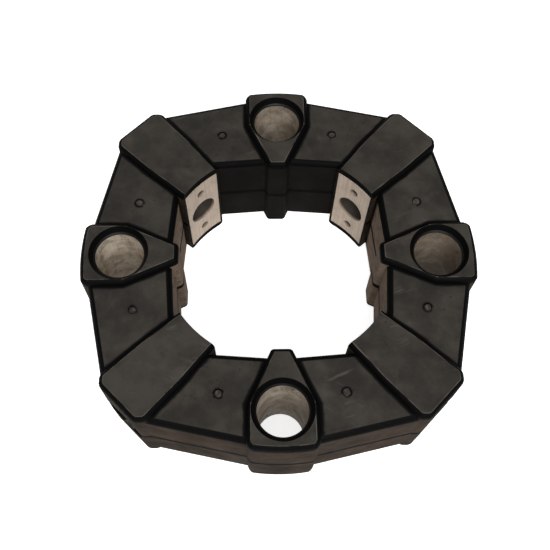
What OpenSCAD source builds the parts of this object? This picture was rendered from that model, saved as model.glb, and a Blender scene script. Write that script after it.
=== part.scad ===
// Torsionally flexible coupling element: one moulded rubber ring with eight metal inserts.
// Four axial inserts take the flange's pins and four radial inserts are bolted to the hub.
// The origin is the ring's centre in its mid-plane and +Z is the shaft axis.

/* [Fastening sizes] */
// Radius of the circle through the four axial bores
pitch_r = 82.5; // [82:0.1:84]
// Radius of each axial bore
axial_bore_r = 12.5; // [10:0.1:12.8]
// Radius of the hub seat that the radial inserts sit on
seat_r = 60; // [59.5:0.1:61]
// Radius of the bolt hole through each radial insert
bolt_hole_r = 8.5; // [6:0.1:9]
// Radius of the two locating holes in each radial insert
pin_hole_r = 2.5; // [2:0.1:3]
// Distance between the two locating holes of a radial insert
pin_spacing = 35.2; // [32:0.1:38]
// Depth of the locating holes
pin_depth = 12; // [6:0.5:16]

/* [Rubber ring] */
// Height of the blocks round the inserts
block_h = 62; // [58:0.5:66]
// Height of the webs between the blocks
web_h = 56; // [50:0.5:56]
// Distance from the shaft axis to a web's outer wall
web_outer = 99.6; // [98:0.1:101]
// Distance from the shaft axis to a web's inner wall
web_inner = 55.6; // [55:0.1:57]
// Radius of the outer arcs of the axial blocks
block_arc_r = 102.6; // [102:0.1:104]
// Distance from the shaft axis to the flat end of a radial block
radial_end = 111.6; // [110:0.1:113]
// Distance from the shaft axis to the nose of an axial block
nose_end = 51.8; // [51:0.1:53]
// Half of the width of an axial block
axial_half_w = 17.8; // [17.4:0.1:18.4]
// Half of the width of a radial block at its inner end
radial_half_w = 13.2; // [13:0.1:14]
// Radius of the rubber lip round the mouth of an axial bore
lip_r = 15.2; // [14:0.1:15.4]
// Radius of the mouth for the bolt head in the end of a radial block
mouth_r = 12.5; // [10:0.1:13]

/* [Metal inserts] */
// Height of the plate that shows at the hub seat
radial_insert_h = 53; // [48:0.5:54]
// Rubber between the side of an axial insert and the side of its block
axial_skin = 2.6; // [2:0.1:3]
// Rubber between the side of a radial insert and the side of its block
radial_skin = 1.7; // [1.5:0.1:2.5]
// Rubber between the nose of an axial insert and the nose of its block
nose_skin = 5; // [3:0.5:7]
// Distance from the shaft axis to the outer end of an axial insert
axial_insert_end = 98.6; // [97:0.1:99.4]
// Distance from the shaft axis to the bolt-head seat of a radial insert
head_seat = 103; // [100:0.5:106]
// Chamfer at the ends of the axial bores
bore_chamfer = 0.7; // [0.3:0.1:1]

/* [Hidden] */
$fn = 96;
// Thickness of the adhesive film between the rubber and the metal
bond = 0.05;
// Angles of the side walls, measured from the middle line of the block they belong to
web_outer_turn = 12.4;
web_inner_turn = 4.4;
nose_taper = 24.5;
inner_taper = 6.2;
outer_taper = 2.3;
// Where the two side tapers of a radial block meet
waist_x = 82;
// Corner cuts at the outer end of a radial block
corner_turn = 45;
corner_cut = 3;
// Bevels along the top and bottom edges: [width, depth]
axial_bevel = [2, 3.6];
radial_bevel = [1.6, 3.6];
web_bevel = [3, 4.5];
// The nose taper passes through this point of the block's side wall
taper_x = 57;
taper_y = 7.6;
// How far a web runs into the side of a radial block
web_root = 1.2;
far = 300;
step = 90;

// Distance from the shaft axis of a wall through [x, y] that faces in direction turn
function wall_dist(x, y, turn) = x * cos(turn) + y * sin(turn);

waist_half_w = radial_half_w + (waist_x - seat_r) * tan(inner_taper);
corner_y = waist_half_w + (radial_end - waist_x) * tan(outer_taper);

// Walls of each kind of block as [direction, distance from the shaft axis]
axial_walls = [
    [90, axial_half_w], [-90, axial_half_w], [180, -nose_end],
    for (s = [-1, 1]) [s * (90 + nose_taper), wall_dist(taper_x, taper_y, 90 + nose_taper)]];
radial_walls = [
    [0, radial_end],
    for (s = [-1, 1]) [s * (90 + inner_taper), wall_dist(waist_x, waist_half_w, 90 + inner_taper)],
    for (s = [-1, 1]) [s * (90 + outer_taper), wall_dist(waist_x, waist_half_w, 90 + outer_taper)],
    for (s = [-1, 1]) [s * corner_turn, wall_dist(radial_end, corner_y, corner_turn) - corner_cut]];

// Everything behind one upright wall, between two level faces that meet it in bevels
module slab(turn, dist, h, bevel = [0, 0]) {
    square_edge = [[-far, -h / 2], [dist, -h / 2], [dist, h / 2], [-far, h / 2]];
    bevelled_edge = [
        [-far, -h / 2], [dist - bevel[0], -h / 2], [dist, -h / 2 + bevel[1]],
        [dist, h / 2 - bevel[1]], [dist - bevel[0], h / 2], [-far, h / 2]];
    rotate([0, 0, turn])
        rotate([90, 0, 0])
            linear_extrude(height = 2 * far, center = true)
                polygon(bevel[0] > 0 ? bevelled_edge : square_edge);
}

// A block is what all its slabs have in common; skin moves every wall inwards
module block(walls, h, bevel = [0, 0], skin = 0) {
    intersection_for(w = walls) slab(w[0], w[1] - skin, h, bevel);
}

// Runs the child round the ring, starting at the given angle
module four_times(start = 0) {
    for (i = [0:3]) rotate([0, 0, start + i * step]) children();
}

// Rubber round one axial insert: bell-shaped, with its nose towards the shaft
module axial_block() {
    intersection() {
        block(axial_walls, block_h, axial_bevel);
        rotate_extrude()
            polygon([
                [0, -block_h / 2], [block_arc_r - axial_bevel[0], -block_h / 2],
                [block_arc_r, -block_h / 2 + axial_bevel[1]],
                [block_arc_r, block_h / 2 - axial_bevel[1]],
                [block_arc_r - axial_bevel[0], block_h / 2], [0, block_h / 2]]);
    }
}

// Rubber round one radial insert, hollowed to the hub seat
module radial_block() {
    difference() {
        block(radial_walls, block_h, radial_bevel);
        cylinder(r = seat_r + 0.2, h = 2 * block_h, center = true);
        translate([-far, -far, -block_h]) cube([far, 2 * far, 2 * block_h]);
    }
}

// Web from the middle line of an axial block to the side of the next radial block
module web() {
    intersection() {
        slab(web_outer_turn, web_outer, web_h, web_bevel);
        slab(180 + web_inner_turn, -web_inner, web_h, web_bevel);
        slab(-90, 0, web_h);
        slab(step / 2 + 90, web_root - radial_half_w, web_h);
    }
}

// Metal body of an axial insert before its bore; grow widens it for the space in the rubber
module axial_body(grow = 0) {
    intersection() {
        block(axial_walls, web_h + 2 * grow, skin = axial_skin - grow);
        slab(180, -nose_end - nose_skin + grow, web_h + 2 * grow);
        slab(0, axial_insert_end + grow, web_h + 2 * grow);
    }
}

// Metal body of a radial insert before its holes; grow widens it for the space in the rubber
module radial_body(grow = 0) {
    intersection() {
        block(radial_walls, radial_insert_h + 2 * grow, skin = radial_skin - grow);
        slab(0, head_seat + grow, radial_insert_h + 2 * grow);
        translate([seat_r / 2, -far, -far]) cube([far, 2 * far, 2 * far]);
    }
}

module rubber_element() {
    color([0.17, 0.16, 0.15])
    difference() {
        union() {
            four_times() { web(); mirror([0, 1, 0]) web(); }
            four_times() axial_block();
            four_times(step / 2) radial_block();
        }
        four_times() {
            axial_body(bond);
            translate([pitch_r, 0, 0])
                rotate_extrude()
                    polygon([
                        [0, -block_h], [lip_r, -block_h], [lip_r, -block_h / 2],
                        [axial_bore_r + bore_chamfer, -web_h / 2], [axial_bore_r + bore_chamfer, web_h / 2],
                        [lip_r, block_h / 2], [lip_r, block_h], [0, block_h]]);
        }
        four_times(step / 2) {
            radial_body(bond);
            translate([head_seat - 1, 0, 0]) rotate([0, 90, 0]) cylinder(r = mouth_r, h = 20);
        }
    }
}

module axial_insert(i) {
    color([0.70, 0.65, 0.58])
    rotate([0, 0, i * step])
    difference() {
        axial_body();
        translate([pitch_r, 0, 0])
            rotate_extrude()
                polygon([
                    [0, -block_h], [axial_bore_r + bore_chamfer, -block_h],
                    [axial_bore_r + bore_chamfer, -web_h / 2], [axial_bore_r, -web_h / 2 + bore_chamfer],
                    [axial_bore_r, web_h / 2 - bore_chamfer], [axial_bore_r + bore_chamfer, web_h / 2],
                    [axial_bore_r + bore_chamfer, block_h], [0, block_h]]);
    }
}

module radial_insert(i) {
    color([0.74, 0.68, 0.60])
    rotate([0, 0, (i + 0.5) * step])
    difference() {
        radial_body();
        cylinder(r = seat_r, h = 2 * block_h, center = true);
        rotate([0, 90, 0]) cylinder(r = bolt_hole_r, h = far);
        for (s = [-1, 1])
            translate([seat_r / 2, 0, s * pin_spacing / 2])
                rotate([0, 90, 0]) cylinder(r = pin_hole_r, h = seat_r / 2 + pin_depth);
    }
}

rubber_element();
for (i = [0:3])
    axial_insert(i);
for (i = [0:3])
    radial_insert(i);
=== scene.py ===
# %% [markdown]
# # A rubber coupling ring, modelled as it is moulded
#
# The piece is the flexible element of a shaft coupling. It is one rubber ring with eight metal
# inserts bonded into it: four upright sleeves that take the pins of a flange, and four lying
# blocks whose curved seats are bolted to a hub. The metal is machined, so the CAD solids already
# have its true shape and only need a finish. The rubber comes out of a two-part mould, with soft
# edges, a parting line and marks where it was fed, so it is modelled anew here. The same points
# and walls serve the metal's room, the rubber's shape and the painted shade at the foot of the
# blocks, so they are stated once.

# %% Opening the imported model
import math
import random

import bmesh
import bpy
from mathutils import Matrix, Vector


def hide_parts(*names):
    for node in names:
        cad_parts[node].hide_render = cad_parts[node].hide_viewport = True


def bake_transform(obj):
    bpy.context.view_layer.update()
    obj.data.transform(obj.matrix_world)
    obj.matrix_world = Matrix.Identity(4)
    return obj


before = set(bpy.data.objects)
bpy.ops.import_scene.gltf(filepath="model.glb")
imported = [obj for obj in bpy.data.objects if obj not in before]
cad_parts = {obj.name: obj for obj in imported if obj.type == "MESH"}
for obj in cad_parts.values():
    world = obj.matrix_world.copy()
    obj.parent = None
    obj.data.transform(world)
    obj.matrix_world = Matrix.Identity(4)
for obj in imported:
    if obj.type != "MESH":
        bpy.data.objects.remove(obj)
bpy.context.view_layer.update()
MM = 0.001

# %% [markdown]
# ## The camera
#
# The camera comes first, because everything after it is judged through it. It looks down at the
# ring from the front, about two thirds of the way up, with a slight lean. A direction, a distance
# and a lens say this more plainly than a matrix would, so the cell states those.

# %% Camera
LOOK_AT = Vector((-2.2, -5.6, 13.9)) * MM
CAMERA_AZIMUTH = -3.26
CAMERA_ELEVATION = 65.11
CAMERA_DISTANCE = 399 * MM
CAMERA_LEAN = 2.52
LENS_LENGTH = 49.2


def stand_camera():
    """Puts a camera round the ring at the stated direction, distance and lean."""
    turn = math.radians(CAMERA_AZIMUTH)
    rise = math.radians(CAMERA_ELEVATION)
    away = Vector((math.sin(turn) * math.cos(rise), -math.cos(turn) * math.cos(rise), math.sin(rise)))
    lens = bpy.data.cameras.new("camera")
    lens.lens = LENS_LENGTH
    lens.clip_start = 0.01
    camera = bpy.data.objects.new("camera", lens)
    bpy.context.collection.objects.link(camera)
    facing = (-away).to_track_quat("-Z", "Y").to_matrix().to_4x4()
    lean = Matrix.Rotation(math.radians(CAMERA_LEAN), 4, "Z")
    camera.matrix_world = Matrix.Translation(LOOK_AT + away * CAMERA_DISTANCE) @ facing @ lean
    bpy.context.scene.camera = camera
    return camera


camera = stand_camera()
print("camera stands at", [round(v / MM, 1) for v in camera.location], "mm")

# %% [markdown]
# ## Helpers for the bench
#
# Everything here is done with the same few moves: leave one thing selected, cut it with a plane,
# cut or join it with another solid, and round some of its edges. Each move becomes a small
# function, so that the cells that shape the rubber read like a list of workshop steps.

# %% Selecting
def only(piece):
    """Leaves one piece selected and active, in object mode."""
    if bpy.context.object and bpy.context.object.mode != "OBJECT":
        bpy.ops.object.mode_set(mode="OBJECT")
    bpy.ops.object.select_all(action="DESELECT")
    piece.select_set(True)
    bpy.context.view_layer.objects.active = piece
    return piece


def edit(piece):
    """Opens one piece in edit mode with nothing selected."""
    only(piece)
    bpy.ops.object.mode_set(mode="EDIT")
    bpy.ops.mesh.select_mode(type="EDGE")
    bpy.ops.mesh.select_all(action="DESELECT")


def pick(kind, test):
    """Selects the edges, faces or verts of the open piece that pass a test."""
    mesh = bpy.context.object.data
    form = bmesh.from_edit_mesh(mesh)
    found = [part for part in getattr(form, kind) if test(part)]
    for part in found:
        part.select_set(True)
    bmesh.update_edit_mesh(mesh)
    return len(found)


def close():
    """Leaves edit mode."""
    bpy.ops.object.mode_set(mode="OBJECT")


# %% Cutting with a plane
CUT_TOLERANCE = 1e-7


def pare(point, facing, fill=True):
    """Cuts away everything in front of a plane and closes the cut."""
    bpy.ops.mesh.select_all(action="SELECT")
    bpy.ops.mesh.bisect(plane_co=point, plane_no=facing.normalized(), use_fill=fill, clear_outer=True,
                        threshold=CUT_TOLERANCE)


def score(point, facing):
    """Adds a line of edges where a plane meets the surface, and takes nothing away."""
    bpy.ops.mesh.select_all(action="SELECT")
    bpy.ops.mesh.bisect(plane_co=point, plane_no=facing.normalized(), threshold=CUT_TOLERANCE)


def flat(turn):
    """Level direction at an angle from +X."""
    angle = math.radians(turn)
    return Vector((math.cos(angle), math.sin(angle), 0))


# %% Adding primitives and combining solids
def settle(piece):
    """Moves a piece's place, turn and size into its mesh."""
    only(piece)
    bpy.ops.object.transform_apply(location=True, rotation=True, scale=True)
    return piece


def billet(name, low, high):
    """A plain rectangular billet between two corners, in mm."""
    size = [(b - a) * MM for a, b in zip(low, high)]
    middle = [(a + b) / 2 * MM for a, b in zip(low, high)]
    bpy.ops.object.select_all(action="DESELECT")
    bpy.ops.mesh.primitive_cube_add(size=1, location=middle)
    piece = bpy.context.object
    piece.name = name
    piece.scale = size
    return settle(piece)


def round_bar(start_r, end_r, start, end, centre=(0, 0), sides=96):
    """An upright round bar or cone between two heights, in mm."""
    bpy.ops.object.select_all(action="DESELECT")
    bpy.ops.mesh.primitive_cone_add(
        vertices=sides, radius1=start_r * MM, radius2=end_r * MM, depth=(end - start) * MM,
        location=(centre[0] * MM, centre[1] * MM, (start + end) / 2 * MM))
    return settle(bpy.context.object)


def combine(piece, tool, how):
    """Joins a tool to the piece, cuts it out, or keeps what both share. The tool is used up."""
    only(piece)
    step = piece.modifiers.new(how.lower(), "BOOLEAN")
    step.operation = how
    step.solver = "EXACT"
    step.object = tool
    bpy.ops.object.modifier_apply(modifier=step.name)
    bpy.data.objects.remove(tool, do_unlink=True)
    return piece


def turned(piece, degrees):
    """Turns a piece round the shaft axis."""
    piece.rotation_euler = (0, 0, math.radians(degrees))
    return settle(piece)


# %% [markdown]
# ## The moulded walls
#
# Every wall of the moulding is made the same way. It leans in a little as it rises, so that the
# moulding comes out of the tool, and at the top it rolls over into the level face.
# The ring is the same above and below its mid-plane, where the two halves of the mould meet.
# So only the upper half is made here, from billets that reach a little below the mid-plane, and
# the mirror does the rest.
#
# A plane cut is the right tool for this. It gives true flat walls at stated distances, a rolled
# edge is a few more cuts that lean over more and more, and a rounded corner is a few more walls
# between two others.

# %% Sizes of the moulding, in mm and degrees
BLOCK_TOP = 31.0
WEB_TOP = 28.0
BELOW = -4.0
DRAFT = 0.7
BLOCK_ROLL = (2.9, 4.2)
WEB_ROLL = (3.9, 5.0)
ROLL_CUTS = 5
BOND = 0.05


def roll_points(top, roll):
    """How far a rolled edge is inside its wall, and its height, from the wall to the level face."""
    wide, deep = roll
    points = []
    for i in range(ROLL_CUTS + 1):
        swing = math.radians(90 * i / ROLL_CUTS)
        points.append((wide * (1 - math.cos(swing)), top - deep + deep * math.sin(swing)))
    return points


def carve_wall(turn, distance, top, roll):
    """Pares one drafted wall at a distance from the shaft axis, and its rolled top edge."""
    out = flat(turn)
    pare(out * distance * MM, out + Vector((0, 0, math.tan(math.radians(DRAFT)))))
    points = roll_points(top, roll)
    for (inset, height), (next_inset, next_height) in zip(points, points[1:]):
        facing = out * (next_height - height) + Vector((0, 0, next_inset - inset))
        pare(out * (distance - inset) * MM + Vector((0, 0, height * MM)), facing)


def through(x, y, turn):
    """Distance from the shaft axis of a wall through [x, y] that faces a direction."""
    angle = math.radians(turn)
    return x * math.cos(angle) + y * math.sin(angle)


def rounded_corner(first, second, radius, cuts=3):
    """Extra walls that round the corner between two walls, each a (turn, distance)."""
    a, b = flat(first[0]), flat(second[0])
    cross = a.x * b.y - a.y * b.x
    corner = Vector((first[1] * b.y - second[1] * a.y, second[1] * a.x - first[1] * b.x, 0)) / cross
    centre = corner - (a + b) * radius / (1 + a.dot(b))
    walls = []
    for i in range(1, cuts + 1):
        turn = first[0] + (second[0] - first[0]) * i / (cuts + 1)
        walls.append((turn, flat(turn).dot(centre) + radius))
    return walls


# %% [markdown]
# ## An axial block
#
# Round each upright sleeve the rubber is bell-shaped: straight sides, a taper to a narrow nose
# that points at the shaft, and an outer wall that follows a circle. The straight walls and the
# rounded corners are pared from a billet. The curved outer wall is what the block shares with
# a turned bar, which is rounder than many plane cuts would be.

# %% Walls of the axial block
AXIAL_HALF = 17.8
NOSE_END = 51.8
NOSE_TAPER = 24.5
TAPER_POINT = (57, 7.6)
ARC_RADIUS = 102.6
OUTER_CORNER_RADIUS = 5.5
SHOULDER_RADIUS = 14.0
NOSE_RADIUS = 2.6
arc_turn = math.degrees(math.asin(AXIAL_HALF / ARC_RADIUS))
axial_walls = [(180, -NOSE_END)]
axial_corners = []
for side in (-1, 1):
    flank = (side * 90, AXIAL_HALF)
    taper_turn = side * (90 + NOSE_TAPER)
    taper = (taper_turn, through(TAPER_POINT[0], side * TAPER_POINT[1], taper_turn))
    axial_walls += [flank, taper]
    axial_corners += rounded_corner((side * arc_turn, ARC_RADIUS), flank, OUTER_CORNER_RADIUS)
    axial_corners += rounded_corner(flank, taper, SHOULDER_RADIUS)
    axial_corners += rounded_corner(taper, (side * 180, -NOSE_END), NOSE_RADIUS)


# %% Axial block
def turned_bar(radius, top, roll):
    """An upright bar with a drafted side and a rolled top edge, for the curved wall."""
    bar = round_bar(radius + 0.05, radius, BELOW, top - roll[1], sides=240)
    edit(bar)
    points = roll_points(top, roll)
    for (inset, height), (next_inset, next_height) in zip(points, points[1:]):
        bpy.ops.mesh.select_all(action="DESELECT")
        pick("faces", lambda f: f.normal.z > 0.9)
        climb = next_height - height + (0.02 if next_height == top else 0)
        bpy.ops.mesh.extrude_region_move(TRANSFORM_OT_translate={"value": (0, 0, climb * MM)})
        shrink = (radius - next_inset) / (radius - inset)
        bpy.ops.transform.resize(value=(shrink, shrink, 1))
    close()
    return bar


def make_axial_block():
    """The upper half of the rubber round one sleeve, on the +X side."""
    block = billet("axial_block", (40, -25, BELOW), (120, 25, BLOCK_TOP))
    edit(block)
    for turn, distance in axial_walls + axial_corners:
        carve_wall(turn, distance, BLOCK_TOP, BLOCK_ROLL)
    close()
    return combine(block, turned_bar(ARC_RADIUS - 0.3, BLOCK_TOP, BLOCK_ROLL), "INTERSECT")


axial_block = make_axial_block()
print("axial block:", len(axial_block.data.polygons), "faces")

# %% [markdown]
# ## A radial block
#
# Round each lying insert the rubber is a long block that widens outwards, with its two outer
# corners cut off. Its inner end is hollowed to the circle of the hub, flush with the metal seat,
# and that edge is trimmed sharp, not rolled.

# %% Radial block
RADIAL_END = 111.6
SEAT_RADIUS = 60.2
WAIST_X = 82
INNER_TAPER = 6.2
OUTER_TAPER = 2.3
SEAT_HALF = 13.2
CORNER_CUT = 3
CORNER_TURN = 45
END_CORNER_RADIUS = 5.0
waist_half = SEAT_HALF + (WAIST_X - 60) * math.tan(math.radians(INNER_TAPER))
corner_y = waist_half + (RADIAL_END - WAIST_X) * math.tan(math.radians(OUTER_TAPER))
radial_walls = [(0, RADIAL_END)]
radial_corners = []
for side in (-1, 1):
    inner_turn = side * (90 + INNER_TAPER)
    outer_turn = side * (90 + OUTER_TAPER)
    cut_turn = side * CORNER_TURN
    inner = (inner_turn, through(WAIST_X, side * waist_half, inner_turn))
    outer = (outer_turn, through(WAIST_X, side * waist_half, outer_turn))
    cut = (cut_turn, through(RADIAL_END, side * corner_y, cut_turn) - CORNER_CUT)
    radial_walls += [inner, outer, cut]
    radial_corners += rounded_corner((0, RADIAL_END), cut, END_CORNER_RADIUS, 2)
    radial_corners += rounded_corner(cut, outer, END_CORNER_RADIUS, 2)


def make_radial_block():
    """The upper half of the rubber round one lying insert, made on the +X side."""
    block = billet("radial_block", (45, -25, BELOW), (120, 25, BLOCK_TOP))
    edit(block)
    for turn, distance in radial_walls + radial_corners:
        carve_wall(turn, distance, BLOCK_TOP, BLOCK_ROLL)
    close()
    hub = round_bar(SEAT_RADIUS, SEAT_RADIUS, BELOW - 1, BLOCK_TOP + 1, sides=240)
    return combine(block, hub, "DIFFERENCE")


radial_block = make_radial_block()
print("radial block:", len(radial_block.data.polygons), "faces")

# %% [markdown]
# ## A web
#
# Between the blocks the rubber thins to flat webs, which give way when the shaft twists. They
# stand a little lower than the blocks. Their side walls are straight, which is what makes
# the ring look like an octagon. A web runs on into the blocks at both of its ends, so that the
# solids overlap and can be joined without a gap.

# %% Web
WEB_OUTER = 99.6
WEB_INNER = 55.6
OUTER_TURN = 12.4
INNER_TURN = 4.4
WEB_ROOT = 1.2


def make_web():
    """The upper half of a web, from inside an axial block into the next radial block."""
    block = billet("web", (30, -3, BELOW - 0.5), (120, 95, WEB_TOP))
    edit(block)
    carve_wall(OUTER_TURN, WEB_OUTER, WEB_TOP, WEB_ROLL)
    carve_wall(180 + INNER_TURN, -WEB_INNER, WEB_TOP, WEB_ROLL)
    pare(flat(135) * (WEB_ROOT - SEAT_HALF) * MM, flat(135))
    close()
    return block


web = make_web()
print("web:", len(web.data.polygons), "faces")

# %% [markdown]
# ## Room for the metal
#
# The inserts sit inside the rubber with only a film of adhesive between them. Each block gets
# a room for its insert, pared like the block itself, only a skin's thickness smaller. The mouth
# over a sleeve is a shallow funnel with a soft rim, and the bolt head goes in through a round
# mouth in the end of a radial block. In the middle of each web is the shallow pit of a gate, where
# the rubber was fed into the mould. All of these are tools: they are cut out and used up.

# %% Rooms for the inserts
AXIAL_SKIN = 2.6
NOSE_SKIN = 5
SLEEVE_END = 98.6
RADIAL_SKIN = 1.7
HEAD_SEAT = 103
PLATE_TOP = 26.5
PITCH_RADIUS = 82.5
MOUTH_RADIUS = 13.2
LIP_RADIUS = 15.0
BOLT_MOUTH = 12.5
GATE_CIRCLE = 80.0
GATE_RADIUS = 2.3
GATE_DEPTH = 0.7


def make_room(walls, skin, ends, top):
    """A solid the size of an insert, to cut its room out of the rubber."""
    room = billet("room", (30, -25, BELOW - 1), (120, 25, top + BOND))
    edit(room)
    for turn, distance in walls:
        pare(flat(turn) * (distance - skin + BOND) * MM, flat(turn))
    for turn, distance in ends:
        pare(flat(turn) * (distance + BOND) * MM, flat(turn))
    close()
    return room


def flared_bar(start_r, end_r, start, end, flare, sides=96):
    """An upright round cutter that opens out by a flare over its last bit of length."""
    bar = round_bar(start_r, end_r, start, end, sides=sides)
    edit(bar)
    for grow, climb in ((0.35 * flare, 0.6 * flare), (flare, 0.6 * flare)):
        bpy.ops.mesh.select_all(action="DESELECT")
        pick("faces", lambda f: f.normal.z > 0.9)
        bpy.ops.mesh.extrude_region_move(TRANSFORM_OT_translate={"value": (0, 0, climb * MM)})
        scale = 1 + grow / end_r
        bpy.ops.transform.resize(value=(scale, scale, 1))
        end_r += grow
    close()
    return bar


def make_funnel():
    """Cuts the soft-rimmed mouth over a sleeve."""
    funnel = flared_bar(MOUTH_RADIUS, LIP_RADIUS, WEB_TOP, BLOCK_TOP - 0.4, 0.4)
    funnel.location.x = PITCH_RADIUS * MM
    return settle(funnel)


def make_bolt_mouth():
    """Cuts the round mouth for a bolt head, lying along +X."""
    mouth = flared_bar(BOLT_MOUTH, BOLT_MOUTH, HEAD_SEAT - 1, RADIAL_END - 0.5, 0.6)
    mouth.rotation_euler.y = math.pi / 2
    return settle(mouth)


# %% One eighth of the ring, still a solid
radial_block = turned(radial_block, 45)
eighth = combine(axial_block, web, "UNION")
combine(eighth, radial_block, "UNION")
sleeve_ends = [(180, -NOSE_END - NOSE_SKIN), (0, SLEEVE_END)]
combine(eighth, make_room(axial_walls, AXIAL_SKIN, sleeve_ends, WEB_TOP), "DIFFERENCE")
combine(eighth, make_funnel(), "DIFFERENCE")
plate_room = make_room(radial_walls, RADIAL_SKIN, [(0, HEAD_SEAT)], PLATE_TOP)
combine(eighth, turned(plate_room, 45), "DIFFERENCE")
combine(eighth, turned(make_bolt_mouth(), 45), "DIFFERENCE")
gate_place = flat(22.5) * GATE_CIRCLE
gate_pit = round_bar(
    GATE_RADIUS - 0.3, GATE_RADIUS, WEB_TOP - GATE_DEPTH, WEB_TOP + 0.05, gate_place.xy, 48)
combine(eighth, gate_pit, "DIFFERENCE")
print("one eighth:", len(eighth.data.polygons), "faces")

# %% [markdown]
# ## From the eighth to the ring
#
# Now the solid is opened where it will meet its copies. The cut faces are left out, so the copies
# share their edges and merge into one skin. A few scored lines across the web give it points to
# bend at when the coupling winds up. The groove where the mould closes is drawn in at the very
# end, from the open edge that runs all round the ring.

# %% Opening the eighth and scoring the web
GROOVE_HALF = 0.35
GROOVE_DEPTH = 0.45
SCORE_LINES = 9
FIRST_SCORE = 101
SCORE_STEP = 2.8
edit(eighth)
pare(Vector((0, 0, 0)), flat(-90), fill=False)
pare(Vector((0, 0, 0)), flat(135), fill=False)
pare(Vector((0, 0, GROOVE_HALF * MM)), Vector((0, 0, -1)), fill=False)
for step in range(SCORE_LINES):
    score(Vector((0, 0, 0)), flat(FIRST_SCORE + SCORE_STEP * step))
close()
print("opened eighth:", len(eighth.data.polygons), "faces")

# %% Mirroring and turning the copies
def mirrored(piece, axis):
    """Adds the piece's mirror image across the origin and welds the two at the plane."""
    only(piece)
    glass = piece.modifiers.new("mirror", "MIRROR")
    glass.use_axis = [axis == name for name in "XYZ"]
    glass.merge_threshold = 0.02 * MM
    bpy.ops.object.modifier_apply(modifier=glass.name)
    return piece


def join(pieces):
    """Makes one piece of several and welds the points that meet."""
    only(pieces[0])
    for piece in pieces:
        piece.select_set(True)
    bpy.ops.object.join()
    edit(pieces[0])
    bpy.ops.mesh.select_all(action="SELECT")
    bpy.ops.mesh.remove_doubles(threshold=0.02 * MM)
    close()
    return pieces[0]


def copy_of(piece, name):
    """A copy with its own mesh."""
    twin = piece.copy()
    twin.data = piece.data.copy()
    twin.name = name
    bpy.context.collection.objects.link(twin)
    return twin


quarter = mirrored(eighth, "Y")
quarters = [quarter] + [turned(copy_of(quarter, "quarter"), 90 * i) for i in (1, 2, 3)]
rubber = join(quarters)
rubber.name = "rubber_ring"

# %% [markdown]
# ## Torn gates
#
# When the moulding is pulled from its gates, a stub of rubber tears off in each pit. No two are
# alike, so one stub is copied eight times with its own size and its own tilt, and the underside
# repeats the eight by mirror. The draws are seeded, so that each run gives the same ring.

# %% Torn gates
draw = random.Random(11)
STUB_RADIUS = 2.0


def make_stub():
    """A short stub of rubber with a rounded rim, standing at the origin."""
    stub = round_bar(STUB_RADIUS + 0.1, STUB_RADIUS, -1.6, 0.05, sides=28)
    edit(stub)
    pick("edges", lambda e: min(v.co.z for v in e.verts) > 0)
    bpy.ops.mesh.bevel(offset=0.16 * MM, segments=2, affect="EDGES")
    close()
    stub.name = "stub"
    return stub


stub = make_stub()
stubs = []
for i in range(8):
    torn = copy_of(stub, "torn_gate")
    torn.scale = [draw.uniform(0.80, 1.0)] * 2 + [1]
    torn.rotation_euler = (math.radians(draw.uniform(7, 15)), 0, math.radians(draw.uniform(0, 360)))
    settle(torn)
    torn.location = flat(22.5 + 45 * i) * GATE_CIRCLE * MM + Vector((0, 0, WEB_TOP * MM))
    stubs.append(settle(torn))
bpy.data.objects.remove(stub, do_unlink=True)
torn_gates = mirrored(join(stubs), "Z")
print("gates torn:", 2 * len(stubs))

# %% Parting line and lower half
edit(rubber)
at_line = pick("edges", lambda e: e.is_boundary)
bpy.ops.mesh.extrude_edges_move(TRANSFORM_OT_translate={"value": (0, 0, -GROOVE_HALF * MM)})
bpy.ops.transform.shrink_fatten(value=-GROOVE_DEPTH * MM, use_even_offset=True)
close()
mirrored(rubber, "Z")
for piece in (rubber, torn_gates):
    edit(piece)
    bpy.ops.mesh.select_all(action="SELECT")
    bpy.ops.mesh.normals_make_consistent(inside=False)
    close()
combine(rubber, torn_gates, "UNION")
only(rubber)
bpy.ops.object.shade_smooth_by_angle(angle=math.radians(35))
weigh = rubber.modifiers.new("weigh", "WEIGHTED_NORMAL")
weigh.keep_sharp = True
bpy.ops.object.modifier_apply(modifier=weigh.name)
skin = bmesh.new()
skin.from_mesh(rubber.data)
open_edges = sum(1 for e in skin.edges if not e.is_manifold)
print("ring:", len(skin.faces), "faces,", at_line, "edges on the parting line,", open_edges, "open edges,",
      round(skin.calc_volume() / MM**3), "cubic mm")
skin.free()

# %% [markdown]
# ## Where the rubber rests
#
# In use the hub turns a few degrees against the flange. The blocks move with their metal, and each
# web stretches or squeezes between them. Here each point of the rubber keeps a note of where it was
# at rest. The finish reads that note, so its marks stretch with the rubber.


axial_sides = [wall for wall in axial_walls if 0 < wall[0] < 180]
radial_sides = [wall for wall in radial_walls if 80 < wall[0] < 180]


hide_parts("rubber_element")
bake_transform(rubber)
rest_place = rubber.data.attributes.new("rest_place", "FLOAT_VECTOR", "POINT")
rest_place.data.foreach_set("vector", [value for v in rubber.data.vertices for value in v.co])
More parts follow.
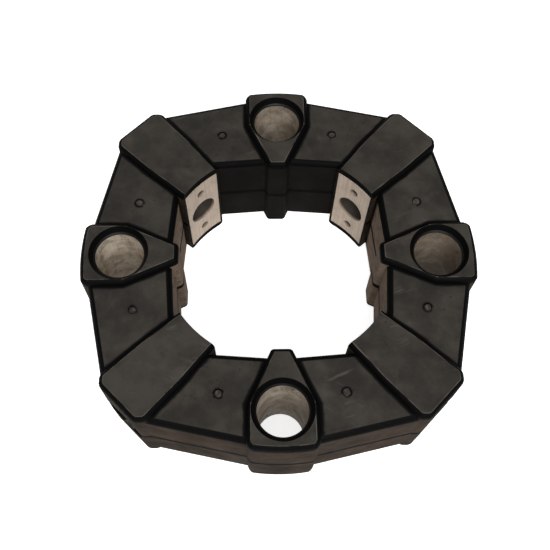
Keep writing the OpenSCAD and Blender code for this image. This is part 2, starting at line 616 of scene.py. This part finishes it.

# %% [markdown]
# ## Finishes
#
# The rubber has one recipe of material, but it shows three faces. Level surfaces are charcoal with
# a slight bloom. The slanting bands are painted near black, as painted shade for the dark they
# reflect. Upright walls have picked up brown dust. Which of them a point belongs to is read from
# how steep the surface is there. That is steadier than a painted texture, and it holds on every
# copy. Painted shade also darkens the foot of the blocks, rings round the gates, the parting line,
# the walls above the webs and the inner walls at the front and back; painted light lightens the
# inner side walls, some rolled edges and spots on the gate stubs.
#
# An effect that is placed more than once, or that takes many nodes to work out, is a node group
# with named inputs and outputs. Cloudy patches serve the rubber and the metal alike; the others
# keep the rubber's own recipe short enough to read.

# %% Node helpers
def start_group(name, inputs, outputs):
    """An empty shader node group with its sockets, its input node and its output node."""
    tree = bpy.data.node_groups.new(name, "ShaderNodeTree")
    for label, value in inputs:
        kind = "NodeSocketVector" if value is None else "NodeSocketFloat"
        socket = tree.interface.new_socket(label, in_out="INPUT", socket_type=kind)
        if value is not None:
            socket.default_value = value
    for label in outputs:
        tree.interface.new_socket(label, in_out="OUTPUT", socket_type="NodeSocketFloat")
    return tree, tree.nodes.new("NodeGroupInput"), tree.nodes.new("NodeGroupOutput")


def node(tree, kind, links=(), **settings):
    """A node with its settings, its fixed input values and its links."""
    made = tree.nodes.new("ShaderNode" + kind)
    for name, value in settings.items():
        setattr(made, name, value)
    for place, source in dict(links).items():
        if isinstance(source, bpy.types.NodeSocket):
            tree.links.new(source, made.inputs[place])
        else:
            made.inputs[place].default_value = source
    return made


def math_of(tree, operation, *values):
    """The result socket of a math node."""
    return node(tree, "Math", {i: v for i, v in enumerate(values)}, operation=operation).outputs[0]


def ramp(tree, value, low, high):
    """A smooth step from 0 at low to 1 at high."""
    step = node(tree, "MapRange", {"Value": value, "From Min": low, "From Max": high},
                interpolation_type="SMOOTHSTEP")
    return step.outputs["Result"]


def noise(tree, place, scale, detail=3.0, rough=0.55):
    """Soft noise at a scale, from 0 to 1."""
    made = node(tree, "TexNoise", {"Vector": place, "Scale": scale, "Detail": detail, "Roughness": rough})
    return made.outputs["Fac"]


# %% Shared effects
def steepness_group():
    """Says how far a point lies on a level face, a slanting band or an upright wall."""
    tree, _, out = start_group("steepness", [], ["Level", "Band", "Wall", "Edge"])
    normal = node(tree, "NewGeometry").outputs["Normal"]
    rise = math_of(tree, "ABSOLUTE", node(tree, "SeparateXYZ", {0: normal}).outputs["Z"])
    level = ramp(tree, rise, 0.955, 0.997)
    wall = math_of(tree, "SUBTRACT", 1.0, ramp(tree, rise, 0.03, 0.16))
    band = math_of(tree, "SUBTRACT", math_of(tree, "SUBTRACT", 1.0, level), wall)
    edge = math_of(tree, "MULTIPLY", ramp(tree, rise, 0.95, 0.975),
                   math_of(tree, "SUBTRACT", 1.0, ramp(tree, rise, 0.985, 0.998)))
    for label, value in (("Level", level), ("Band", band), ("Wall", wall), ("Edge", edge)):
        tree.links.new(value, out.inputs[label])
    return tree


def patches_group():
    """Cloudy patches with a soft edge, for bloom, dust, handling marks and patchy painted highlights."""
    inputs = [("Place", None), ("Scale", 20.0), ("Amount", 0.5), ("Softness", 0.15)]
    tree, given, out = start_group("patches", inputs, ["Mask"])
    cloud = noise(tree, given.outputs["Place"], given.outputs["Scale"], 5.0, 0.6)
    level = math_of(tree, "SUBTRACT", 1.0, given.outputs["Amount"])
    low = math_of(tree, "SUBTRACT", level, given.outputs["Softness"])
    high = math_of(tree, "ADD", level, given.outputs["Softness"])
    tree.links.new(ramp(tree, cloud, low, high), out.inputs["Mask"])
    return tree


def grain_group():
    """Height of a fine cast grain over slow waves."""
    inputs = [("Place", None), ("Grain", 900.0), ("Wave", 60.0), ("Waviness", 0.5)]
    tree, given, out = start_group("grain", inputs, ["Height"])
    fine = noise(tree, given.outputs["Place"], given.outputs["Grain"], 2.0)
    slow = noise(tree, given.outputs["Place"], given.outputs["Wave"], 1.0)
    waves = math_of(tree, "MULTIPLY", slow, given.outputs["Waviness"])
    tree.links.new(math_of(tree, "ADD", fine, waves), out.inputs["Height"])
    return tree


def scuffs_group():
    """Thin light scratches that run one way, in a few places only."""
    inputs = [("Place", None), ("Turn", 0.6), ("Fineness", 500.0), ("Amount", 0.3)]
    tree, given, out = start_group("scuffs", inputs, ["Mask"])
    turn = node(tree, "CombineXYZ", {"Z": given.outputs["Turn"]}).outputs[0]
    swung = node(tree, "Mapping", {"Vector": given.outputs["Place"], "Rotation": turn}).outputs[0]
    stretch = node(tree, "CombineXYZ", {"X": 45.0, "Y": given.outputs["Fineness"], "Z": 14.0}).outputs[0]
    drawn_out = node(tree, "Mapping", {"Vector": swung, "Scale": stretch}).outputs[0]
    lines = ramp(tree, noise(tree, drawn_out, 1.0, 2.0, 0.6), 0.60, 0.72)
    where = ramp(tree, noise(tree, given.outputs["Place"], 30.0, 2.0), 0.52, 0.66)
    both = math_of(tree, "MULTIPLY", lines, where)
    tree.links.new(math_of(tree, "MULTIPLY", both, given.outputs["Amount"]), out.inputs["Mask"])
    return tree


def folded_distance(tree, along, across, walls):
    """How far a folded point lies outside the nearest of some walls, in metres."""
    furthest = None
    for turn, distance in walls:
        way = flat(turn)
        reach = math_of(tree, "MULTIPLY_ADD", along, way.x, -distance * MM)
        reach = math_of(tree, "MULTIPLY_ADD", across, way.y, reach)
        furthest = reach if furthest is None else math_of(tree, "MAXIMUM", furthest, reach)
    return furthest


def corners_group():
    """Painted shade at the foot of the blocks and in broken rings round the gates, and the faces of the torn
    stubs.
    """
    tree, given, out = start_group("corners", [("Place", None), ("Reach", 0.0015)], ["Foot", "Gate", "Stub"])
    parts = node(tree, "SeparateXYZ", {0: given.outputs["Place"]})
    x, y = (math_of(tree, "ABSOLUTE", parts.outputs[name]) for name in "XY")
    far, near = math_of(tree, "MAXIMUM", x, y), math_of(tree, "MINIMUM", x, y)
    to_axial = folded_distance(tree, far, near, axial_sides)
    turned_far = math_of(tree, "MULTIPLY", math_of(tree, "ADD", far, near), math.sqrt(0.5))
    turned_near = math_of(tree, "MULTIPLY", math_of(tree, "SUBTRACT", far, near), math.sqrt(0.5))
    to_radial = folded_distance(tree, turned_far, turned_near, radial_sides)
    wander = math_of(tree, "MULTIPLY_ADD", noise(tree, given.outputs["Place"], 110.0, 2.0), 1.2, 0.4)
    reach = math_of(tree, "MULTIPLY", given.outputs["Reach"], wander)
    nearest = math_of(tree, "DIVIDE", math_of(tree, "MINIMUM", to_axial, to_radial), reach)
    height = math_of(tree, "ABSOLUTE", parts.outputs["Z"])
    at_web = math_of(tree, "COMPARE", height, WEB_TOP * MM, 1.2 * MM)
    # Painted shade where the blocks rise from the webs.
    foot = math_of(tree, "MULTIPLY", math_of(tree, "SUBTRACT", 1.0, ramp(tree, nearest, 0.3, 1.3)), at_web)
    tree.links.new(foot, out.inputs["Foot"])
    folded = node(tree, "CombineXYZ", {"X": far, "Y": near}).outputs[0]
    gate = node(tree, "VectorMath", {0: folded, 1: gate_place * MM}, operation="DISTANCE").outputs["Value"]
    # Painted shade in a broken ring round each gate stub.
    off_ring = math_of(tree, "ABSOLUTE", math_of(tree, "SUBTRACT", gate, GATE_RADIUS * MM))
    ring = math_of(tree, "SUBTRACT", 1.0, ramp(tree, off_ring, 0.3 * MM, 1.0 * MM))
    broken = ramp(tree, noise(tree, given.outputs["Place"], 230.0, 1.0), 0.42, 0.52)
    tree.links.new(math_of(tree, "MULTIPLY", ring, broken), out.inputs["Gate"])
    on_stub = math_of(tree, "SUBTRACT", 1.0, ramp(tree, gate, STUB_RADIUS * 0.8 * MM, STUB_RADIUS * MM))
    stub_face = math_of(tree, "MULTIPLY", on_stub, at_web)
    tree.links.new(stub_face, out.inputs["Stub"])
    return tree


steepness = steepness_group()
corners = corners_group()
patches = patches_group()
grain = grain_group()
scuffs = scuffs_group()
print("shared effects:", [g.name for g in (steepness, corners, patches, grain, scuffs)])


# %% Starting a material
def place_group(tree, group, **values):
    """Puts a shared effect into a material with its own values."""
    made = tree.nodes.new("ShaderNodeGroup")
    made.node_tree = group
    for label, value in values.items():
        if isinstance(value, bpy.types.NodeSocket):
            tree.links.new(value, made.inputs[label])
        else:
            made.inputs[label].default_value = value
    return made


def blend_colour(tree, amount, under, over):
    """One colour over another by a mask."""
    made = node(tree, "Mix", {0: amount}, data_type="RGBA")
    for index, colour in ((6, under), (7, over)):
        if isinstance(colour, bpy.types.NodeSocket):
            tree.links.new(colour, made.inputs[index])
        else:
            made.inputs[index].default_value = (*colour, 1)
    return made.outputs[2]


def start_material(name, metallic, gloss):
    """A material with a Principled shader, and the object's own coordinates."""
    made = bpy.data.materials.new(name)
    made.use_nodes = True
    tree = made.node_tree
    shader = tree.nodes["Principled BSDF"]
    shader.inputs["Metallic"].default_value = metallic
    shader.inputs["Specular IOR Level"].default_value = gloss
    return made, tree, shader, node(tree, "TexCoord").outputs["Object"]


def bump(tree, shader, height, strength, distance):
    """Gives the shader small relief from a height."""
    relief = node(tree, "Bump", {"Height": height, "Strength": strength, "Distance": distance})
    tree.links.new(relief.outputs["Normal"], shader.inputs["Normal"])


# %% Rubber finish
CHARCOAL = (0.0255, 0.0231, 0.0196)
BLOOM = (0.0515, 0.0464, 0.0391)
# Light smears and scratches, and also the painted highlight on rolled edges and gate stubs.
SMEAR_AND_HIGHLIGHT = (0.1100, 0.1000, 0.0860)
# Near black is the colour of dark specks, and the painted shade of the bands, the foot of the blocks, the
# gate rings, the parting line, the walls above the webs and the sleeve rims.
NEAR_BLACK = (0.0020, 0.0019, 0.0018)
DEEP_SHADE = (0.0060, 0.0054, 0.0050)
DUST = (0.051, 0.034, 0.0225)
# Pale dust, which also stands in for painted light on the inner side walls.
PALE_DUST_AND_LIGHT = (0.260, 0.190, 0.140)
DIRTY_WALL = (0.010, 0.0072, 0.0054)


def inner_shade(tree, place):
    """Masks of the walls that face the shaft, for painted shade and painted light: first those at the front
    and back, then at the sides.
    """
    normal = node(tree, "NewGeometry").outputs["Normal"]
    towards = node(tree, "VectorMath", {0: normal, 1: place}, operation="DOT_PRODUCT").outputs["Value"]
    inner = ramp(tree, math_of(tree, "MULTIPLY", towards, -10.0), -0.1, 0.2)
    parts = node(tree, "SeparateXYZ", {0: place})
    x, y = (math_of(tree, "ABSOLUTE", parts.outputs[name]) for name in "XY")
    at_side = ramp(tree, x, 36 * MM, 46 * MM)
    by_seat = ramp(tree, math_of(tree, "MINIMUM", x, y), 30 * MM, 32.5 * MM)
    off_side = math_of(tree, "SUBTRACT", 1.0, at_side)
    at_ends = math_of(tree, "MULTIPLY", inner, math_of(tree, "MAXIMUM", off_side, by_seat))
    at_side = math_of(tree, "MULTIPLY", at_side, math_of(tree, "SUBTRACT", 1.0, by_seat))
    return at_ends, math_of(tree, "MULTIPLY", inner, at_side)


def parting_shade_mask(tree, place, height):
    """1 in the line of painted shade where the two halves of the mould met, which wanders a little."""
    wobble = math_of(tree, "MULTIPLY_ADD", noise(tree, place, 26.0, 2.0), 0.0024, -0.0012)
    apart = math_of(tree, "ABSOLUTE", math_of(tree, "ADD", height, wobble))
    width = math_of(tree, "MULTIPLY_ADD", noise(tree, place, 110.0, 2.0), 0.0014, 0.0009)
    return math_of(tree, "SUBTRACT", 1.0, ramp(tree, math_of(tree, "DIVIDE", apart, width), 0.8, 1.4))


def wall_colour(tree, place):
    """Brown dust in level streaks, painted shade and painted light on the inner walls, and painted shade on
    the parting line and above the webs.
    """
    height = node(tree, "SeparateXYZ", {0: place}).outputs["Z"]
    streaky = node(tree, "Mapping", {"Vector": place, "Scale": (1, 1, 3.2)}).outputs[0]
    dirt = place_group(tree, patches, Place=place, Scale=52.0, Amount=0.50, Softness=0.22).outputs[0]
    fine = place_group(tree, patches, Place=streaky, Scale=230.0, Amount=0.42, Softness=0.14).outputs[0]
    wall = blend_colour(tree, math_of(tree, "MULTIPLY", dirt, 0.75), DUST, DIRTY_WALL)
    wall = blend_colour(tree, math_of(tree, "MULTIPLY", fine, 0.5), wall, DIRTY_WALL)
    at_ends, at_side = inner_shade(tree, place)
    # Painted shade on the inner walls at the front and back, and painted light over pale dust on the inner
    # side walls.
    wall = blend_colour(tree, math_of(tree, "MULTIPLY", at_ends, 0.92), wall, DEEP_SHADE)
    pale = math_of(tree, "MULTIPLY", at_side, math_of(tree, "MULTIPLY_ADD", fine, -0.6, 0.75))
    wall = blend_colour(tree, pale, wall, PALE_DUST_AND_LIGHT)
    # Painted shade along the parting line.
    wall = blend_colour(tree, parting_shade_mask(tree, place, height), wall, NEAR_BLACK)
    # Painted shade on the short walls of the blocks that stand above the webs.
    block_wall_shade = ramp(tree, math_of(tree, "ABSOLUTE", height), (WEB_TOP - 1.2) * MM, (WEB_TOP - 0.4) * MM)
    return blend_colour(tree, block_wall_shade, wall, NEAR_BLACK)


def top_colour(tree, place, bloom):
    """Charcoal with cloudy bloom, light smears, scratches and dark specks."""
    smear = place_group(tree, patches, Place=place, Scale=75.0, Amount=0.36, Softness=0.14).outputs[0]
    specks = place_group(tree, patches, Place=place, Scale=420.0, Amount=0.34, Softness=0.03).outputs[0]
    long_scratch = place_group(tree, scuffs, Place=place, Turn=-0.35, Fineness=380.0, Amount=0.45).outputs[0]
    short_scratch = place_group(tree, scuffs, Place=place, Turn=0.5, Fineness=700.0, Amount=0.22).outputs[0]
    top = blend_colour(tree, bloom, CHARCOAL, BLOOM)
    top = blend_colour(tree, math_of(tree, "MULTIPLY", smear, 0.22), top, SMEAR_AND_HIGHLIGHT)
    top = blend_colour(tree, math_of(tree, "MULTIPLY", specks, 0.35), top, NEAR_BLACK)
    top = blend_colour(tree, long_scratch, top, SMEAR_AND_HIGHLIGHT)
    return blend_colour(tree, short_scratch, top, SMEAR_AND_HIGHLIGHT)


def rubber_finish():
    """Moulded black rubber: bloom on top, painted shade on the rolled edges, dusty walls and painted
    highlights along some edges.
    """
    made, tree, shader, _ = start_material("moulded_rubber", 0.0, 0.05)
    place = node(tree, "Attribute", attribute_name="rest_place").outputs["Vector"]
    steep = place_group(tree, steepness)
    bloom = place_group(tree, patches, Place=place, Scale=46.0, Amount=0.50, Softness=0.20).outputs[0]
    top = top_colour(tree, place, bloom)
    colour = blend_colour(tree, steep.outputs["Wall"], top, wall_colour(tree, place))
    corner = place_group(tree, corners, Place=place, Reach=0.0016)
    # Painted shade at the foot of the blocks and in the rings round the gates.
    colour = blend_colour(tree, corner.outputs["Foot"], colour, NEAR_BLACK)
    colour = blend_colour(tree, math_of(tree, "MULTIPLY", corner.outputs["Gate"], 0.75), colour, NEAR_BLACK)
    # Painted shade: the slanting rolled bands are painted near black for the dark they reflect; the stubs
    # are left out.
    off_stub = math_of(tree, "SUBTRACT", 1.0, corner.outputs["Stub"])
    band = math_of(tree, "MULTIPLY", steep.outputs["Band"], off_stub)
    colour = blend_colour(tree, band, colour, NEAR_BLACK)
    # Painted highlight: light spots on the faces of the torn stubs.
    torn = place_group(tree, patches, Place=place, Scale=500.0, Amount=0.45, Softness=0.10).outputs[0]
    torn = math_of(tree, "MULTIPLY", math_of(tree, "MULTIPLY", torn, corner.outputs["Stub"]), 0.5)
    colour = blend_colour(tree, torn, colour, SMEAR_AND_HIGHLIGHT)
    # Painted highlight: a light line along the rolled edges of the block tops, in patches, and of the inner
    # walls at the front and back.
    edge_highlight = place_group(tree, patches, Place=place, Scale=80.0, Amount=0.52, Softness=0.12).outputs[0]
    height = node(tree, "SeparateXYZ", {0: place}).outputs["Z"]
    raised = math_of(tree, "GREATER_THAN", height, (WEB_TOP + 1) * MM)
    inner_edge_highlight = math_of(tree, "MULTIPLY", inner_shade(tree, place)[0], 0.8)
    edge_highlight = math_of(tree, "MAXIMUM", math_of(tree, "MULTIPLY", edge_highlight, raised), inner_edge_highlight)
    edge_highlight = math_of(tree, "MULTIPLY", edge_highlight, steep.outputs["Edge"])
    colour = blend_colour(tree, math_of(tree, "MULTIPLY", edge_highlight, 0.9), colour, SMEAR_AND_HIGHLIGHT)
    tree.links.new(colour, shader.inputs["Base Color"])
    shine = math_of(tree, "MULTIPLY_ADD", bloom, 0.16, 0.44)
    shine = math_of(tree, "MULTIPLY_ADD", steep.outputs["Wall"], 0.25, shine)
    shine = math_of(tree, "MULTIPLY_ADD", steep.outputs["Band"], 0.10, shine)
    tree.links.new(shine, shader.inputs["Roughness"])
    relief = place_group(tree, grain, Place=place, Grain=1100.0, Wave=90.0, Waviness=1.5).outputs[0]
    bump(tree, shader, relief, 0.35, 0.00012)
    return made


def dress(piece, finish):
    """Gives a piece one finish all over."""
    piece.data.materials.clear()
    piece.data.materials.append(finish)


dress(rubber, rubber_finish())
print("rubber wears", rubber.data.materials[0].name)

# %% [markdown]
# ## Metal finishes
#
# The inserts are aluminium, gone warm and dull. The sleeves' bores are reamed, with streaks along
# the bore where pins have slid, and no two are equally brown, so each has a material of its own
# from one recipe. The seats are turned to the hub's circle and show fine lines that run up and
# down. Both patterns must follow the shape, so the place of a point is first turned into an angle
# round the right axis and a height.

# %% Metal finishes
AGED_METAL = (0.190, 0.140, 0.094)


def folded_place(tree, place):
    """Coordinates round the nearest sleeve: across the sleeve, along the ring and up."""
    parts = node(tree, "SeparateXYZ", {0: place})
    x, y, z = (parts.outputs[name] for name in "XYZ")
    on_x = math_of(tree, "GREATER_THAN", math_of(tree, "ABSOLUTE", x), math_of(tree, "ABSOLUTE", y))
    off_x = math_of(tree, "SUBTRACT", 1.0, on_x)
    out = math_of(tree, "ADD", math_of(tree, "MULTIPLY", x, on_x), math_of(tree, "MULTIPLY", y, off_x))
    side = math_of(tree, "ADD", math_of(tree, "MULTIPLY", y, on_x), math_of(tree, "MULTIPLY", x, off_x))
    sign = math_of(tree, "SIGN", out)
    centred = math_of(tree, "SUBTRACT", out, math_of(tree, "MULTIPLY", sign, PITCH_RADIUS * MM))
    return centred, side, z, math_of(tree, "ADD", sign, math_of(tree, "MULTIPLY", on_x, 3.0))


def streak_place(tree, angle, height, seed, across, along):
    """A place for noise that is drawn out along the height."""
    return node(tree, "CombineXYZ", {"X": math_of(tree, "MULTIPLY", angle, across),
                                     "Y": math_of(tree, "MULTIPLY", height, along), "Z": seed}).outputs[0]


def sleeve_finish(name, age):
    """Reamed aluminium bore with streaks along it, brown age, scraps of rubber near its ends, and painted
    shade at its rims.
    """
    made, tree, shader, place = start_material(name, 0.3, 0.4)
    out, side, height, seed = folded_place(tree, place)
    angle = math_of(tree, "ARCTAN2", side, out)
    streaks = noise(tree, streak_place(tree, angle, height, seed, 22.0, 30.0), 1.0, 4.0, 0.65)
    rings = noise(tree, streak_place(tree, angle, height, seed, 0.6, 2600.0), 1.0, 2.0, 0.6)
    cloud = place_group(tree, patches, Place=place, Scale=105.0, Amount=0.48, Softness=0.12).outputs[0]
    stain = place_group(tree, patches, Place=place, Scale=170.0, Amount=0.46, Softness=0.08).outputs[0]
    colour = blend_colour(tree, ramp(tree, streaks, 0.30, 0.72), (0.46, 0.38, 0.29), (0.70, 0.60, 0.48))
    colour = blend_colour(tree, math_of(tree, "MULTIPLY", cloud, 0.60), colour, (0.85, 0.78, 0.66))
    colour = blend_colour(tree, math_of(tree, "MULTIPLY_ADD", cloud, -0.25 * age, age), colour, AGED_METAL)
    colour = blend_colour(tree, math_of(tree, "MULTIPLY", stain, 0.50), colour, (0.17, 0.135, 0.10))
    torn = noise(tree, streak_place(tree, angle, height, seed, 5.0, 330.0), 1.0, 2.0, 0.5)
    off_middle = math_of(tree, "ABSOLUTE", math_of(tree, "SUBTRACT", torn, 0.5))
    scraps = math_of(tree, "SUBTRACT", 1.0, ramp(tree, off_middle, 0.012, 0.04))
    some = ramp(tree, noise(tree, streak_place(tree, angle, height, seed, 1.3, 40.0), 1.0, 1.0), 0.46, 0.60)
    off_middle_height = math_of(tree, "ABSOLUTE", height)
    near_end = math_of(tree, "MULTIPLY", some, ramp(tree, off_middle_height, 14 * MM, 24 * MM))
    colour = blend_colour(tree, math_of(tree, "MULTIPLY", scraps, near_end), colour, CHARCOAL)
    # Painted shade at the rims, in the gap under the rubber lip.
    rim = ramp(tree, off_middle_height, 26.2 * MM, 27.0 * MM)
    colour = blend_colour(tree, rim, colour, NEAR_BLACK)
    tree.links.new(colour, shader.inputs["Base Color"])
    tree.links.new(math_of(tree, "MULTIPLY_ADD", streaks, 0.25, 0.40), shader.inputs["Roughness"])
    bump(tree, shader, math_of(tree, "ADD", rings, streaks), 0.25, 0.00006)
    return made


def seat_finish():
    """Turned aluminium seat, with fine upright lines, a few stains, and painted shade inside its holes."""
    made, tree, shader, place = start_material("seat_metal", 0.35, 0.4)
    parts = node(tree, "SeparateXYZ", {0: place})
    angle = math_of(tree, "ARCTAN2", parts.outputs["Y"], parts.outputs["X"])
    lines = noise(tree, streak_place(tree, angle, parts.outputs["Z"], 0.0, 420.0, 16.0), 1.0, 3.0, 0.7)
    stain = place_group(tree, patches, Place=place, Scale=120.0, Amount=0.42, Softness=0.12).outputs[0]
    colour = blend_colour(tree, ramp(tree, lines, 0.32, 0.70), (0.36, 0.28, 0.215), (0.68, 0.56, 0.45))
    colour = blend_colour(tree, math_of(tree, "MULTIPLY", stain, 0.3), colour, (0.26, 0.20, 0.15))
    level_place = node(tree, "CombineXYZ", {"X": parts.outputs["X"], "Y": parts.outputs["Y"]}).outputs[0]
    reach = node(tree, "VectorMath", {0: level_place}, operation="LENGTH").outputs["Value"]
    # Painted shade on all the metal beyond the seat's circle, which is mostly the inside of the bolt hole.
    hole_shade = ramp(tree, reach, (SEAT_RADIUS + 0.1) * MM, (SEAT_RADIUS + 1.8) * MM)
    colour = blend_colour(tree, math_of(tree, "MULTIPLY", hole_shade, 0.88), colour, (0.024, 0.020, 0.017))
    tree.links.new(colour, shader.inputs["Base Color"])
    tree.links.new(math_of(tree, "MULTIPLY_ADD", lines, 0.25, 0.36), shader.inputs["Roughness"])
    bump(tree, shader, lines, 0.3, 0.00006)
    return made


seat_metal = seat_finish()
for number, age in enumerate((0.85, 0.50, 0.10, 0.45), start=1):
    dress(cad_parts[f"axial_insert_{number}"], sleeve_finish(f"sleeve_metal_{number}", age))
    dress(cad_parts[f"radial_insert_{number}"], seat_metal)
print("metal dressed on", len(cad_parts) - 1, "inserts")

# %% [markdown]
# ## Light table and lamps
#
# The ring lies on a pale sheet that glows faintly, as on a studio's light table, so its shadow
# stays thin and the foot of the walls is seen. A wide soft lamp hangs over the front, a little to
# the right, and a weak one behind. The room is dim near the horizon, which keeps the slanting
# bands dark.

# %% Floor
def light_table():
    """The pale glowing sheet that the ring lies on."""
    bpy.ops.object.select_all(action="DESELECT")
    bpy.ops.mesh.primitive_plane_add(size=6, location=(0, 0, -BLOCK_TOP * MM))
    sheet = settle(bpy.context.object)
    sheet.name = "light_table"
    made = bpy.data.materials.new("pale_sheet")
    made.use_nodes = True
    shader = made.node_tree.nodes["Principled BSDF"]
    shader.inputs["Base Color"].default_value = (0.86, 0.86, 0.85, 1)
    shader.inputs["Roughness"].default_value = 0.9
    shader.inputs["Specular IOR Level"].default_value = 0.1
    shader.inputs["Emission Color"].default_value = (1, 1, 1, 1)
    seen = node(made.node_tree, "LightPath").outputs["Is Camera Ray"]
    glow = math_of(made.node_tree, "MULTIPLY_ADD", seen, 0.55, 0.25)
    made.node_tree.links.new(glow, shader.inputs["Emission Strength"])
    dress(sheet, made)
    return sheet


light_table()

# %% Lamps and room
bpy.context.scene.view_settings.view_transform = "Standard"


def soft_lamp(name, place, size, power):
    """A square soft lamp that points at the ring."""
    lamp = bpy.data.lights.new(name, "AREA")
    lamp.energy = power
    lamp.size = size
    holder = bpy.data.objects.new(name, lamp)
    bpy.context.collection.objects.link(holder)
    holder.location = place
    holder.rotation_euler = (-Vector(place)).to_track_quat("-Z", "Y").to_euler()
    return holder


soft_lamp("front_lamp", (0.15, -0.80, 1.0), 0.7, 13)
soft_lamp("back_lamp", (-0.5, 0.9, 0.9), 0.8, 1.5)


def dim_room():
    """A room that is pale overhead and dim near the horizon, and plain to the camera."""
    room = bpy.data.worlds.new("room")
    bpy.context.scene.world = room
    room.use_nodes = True
    tree = room.node_tree
    up = node(tree, "SeparateXYZ", {0: node(tree, "TexCoord").outputs["Generated"]}).outputs["Z"]
    sky = blend_colour(tree, ramp(tree, up, 0.0, 0.9), (0.10, 0.10, 0.10), (0.55, 0.55, 0.56))
    seen = node(tree, "LightPath").outputs["Is Camera Ray"]
    sky = blend_colour(tree, seen, sky, (0.9, 0.9, 0.9))
    tree.links.new(sky, tree.nodes["Background"].inputs["Color"])


dim_room()
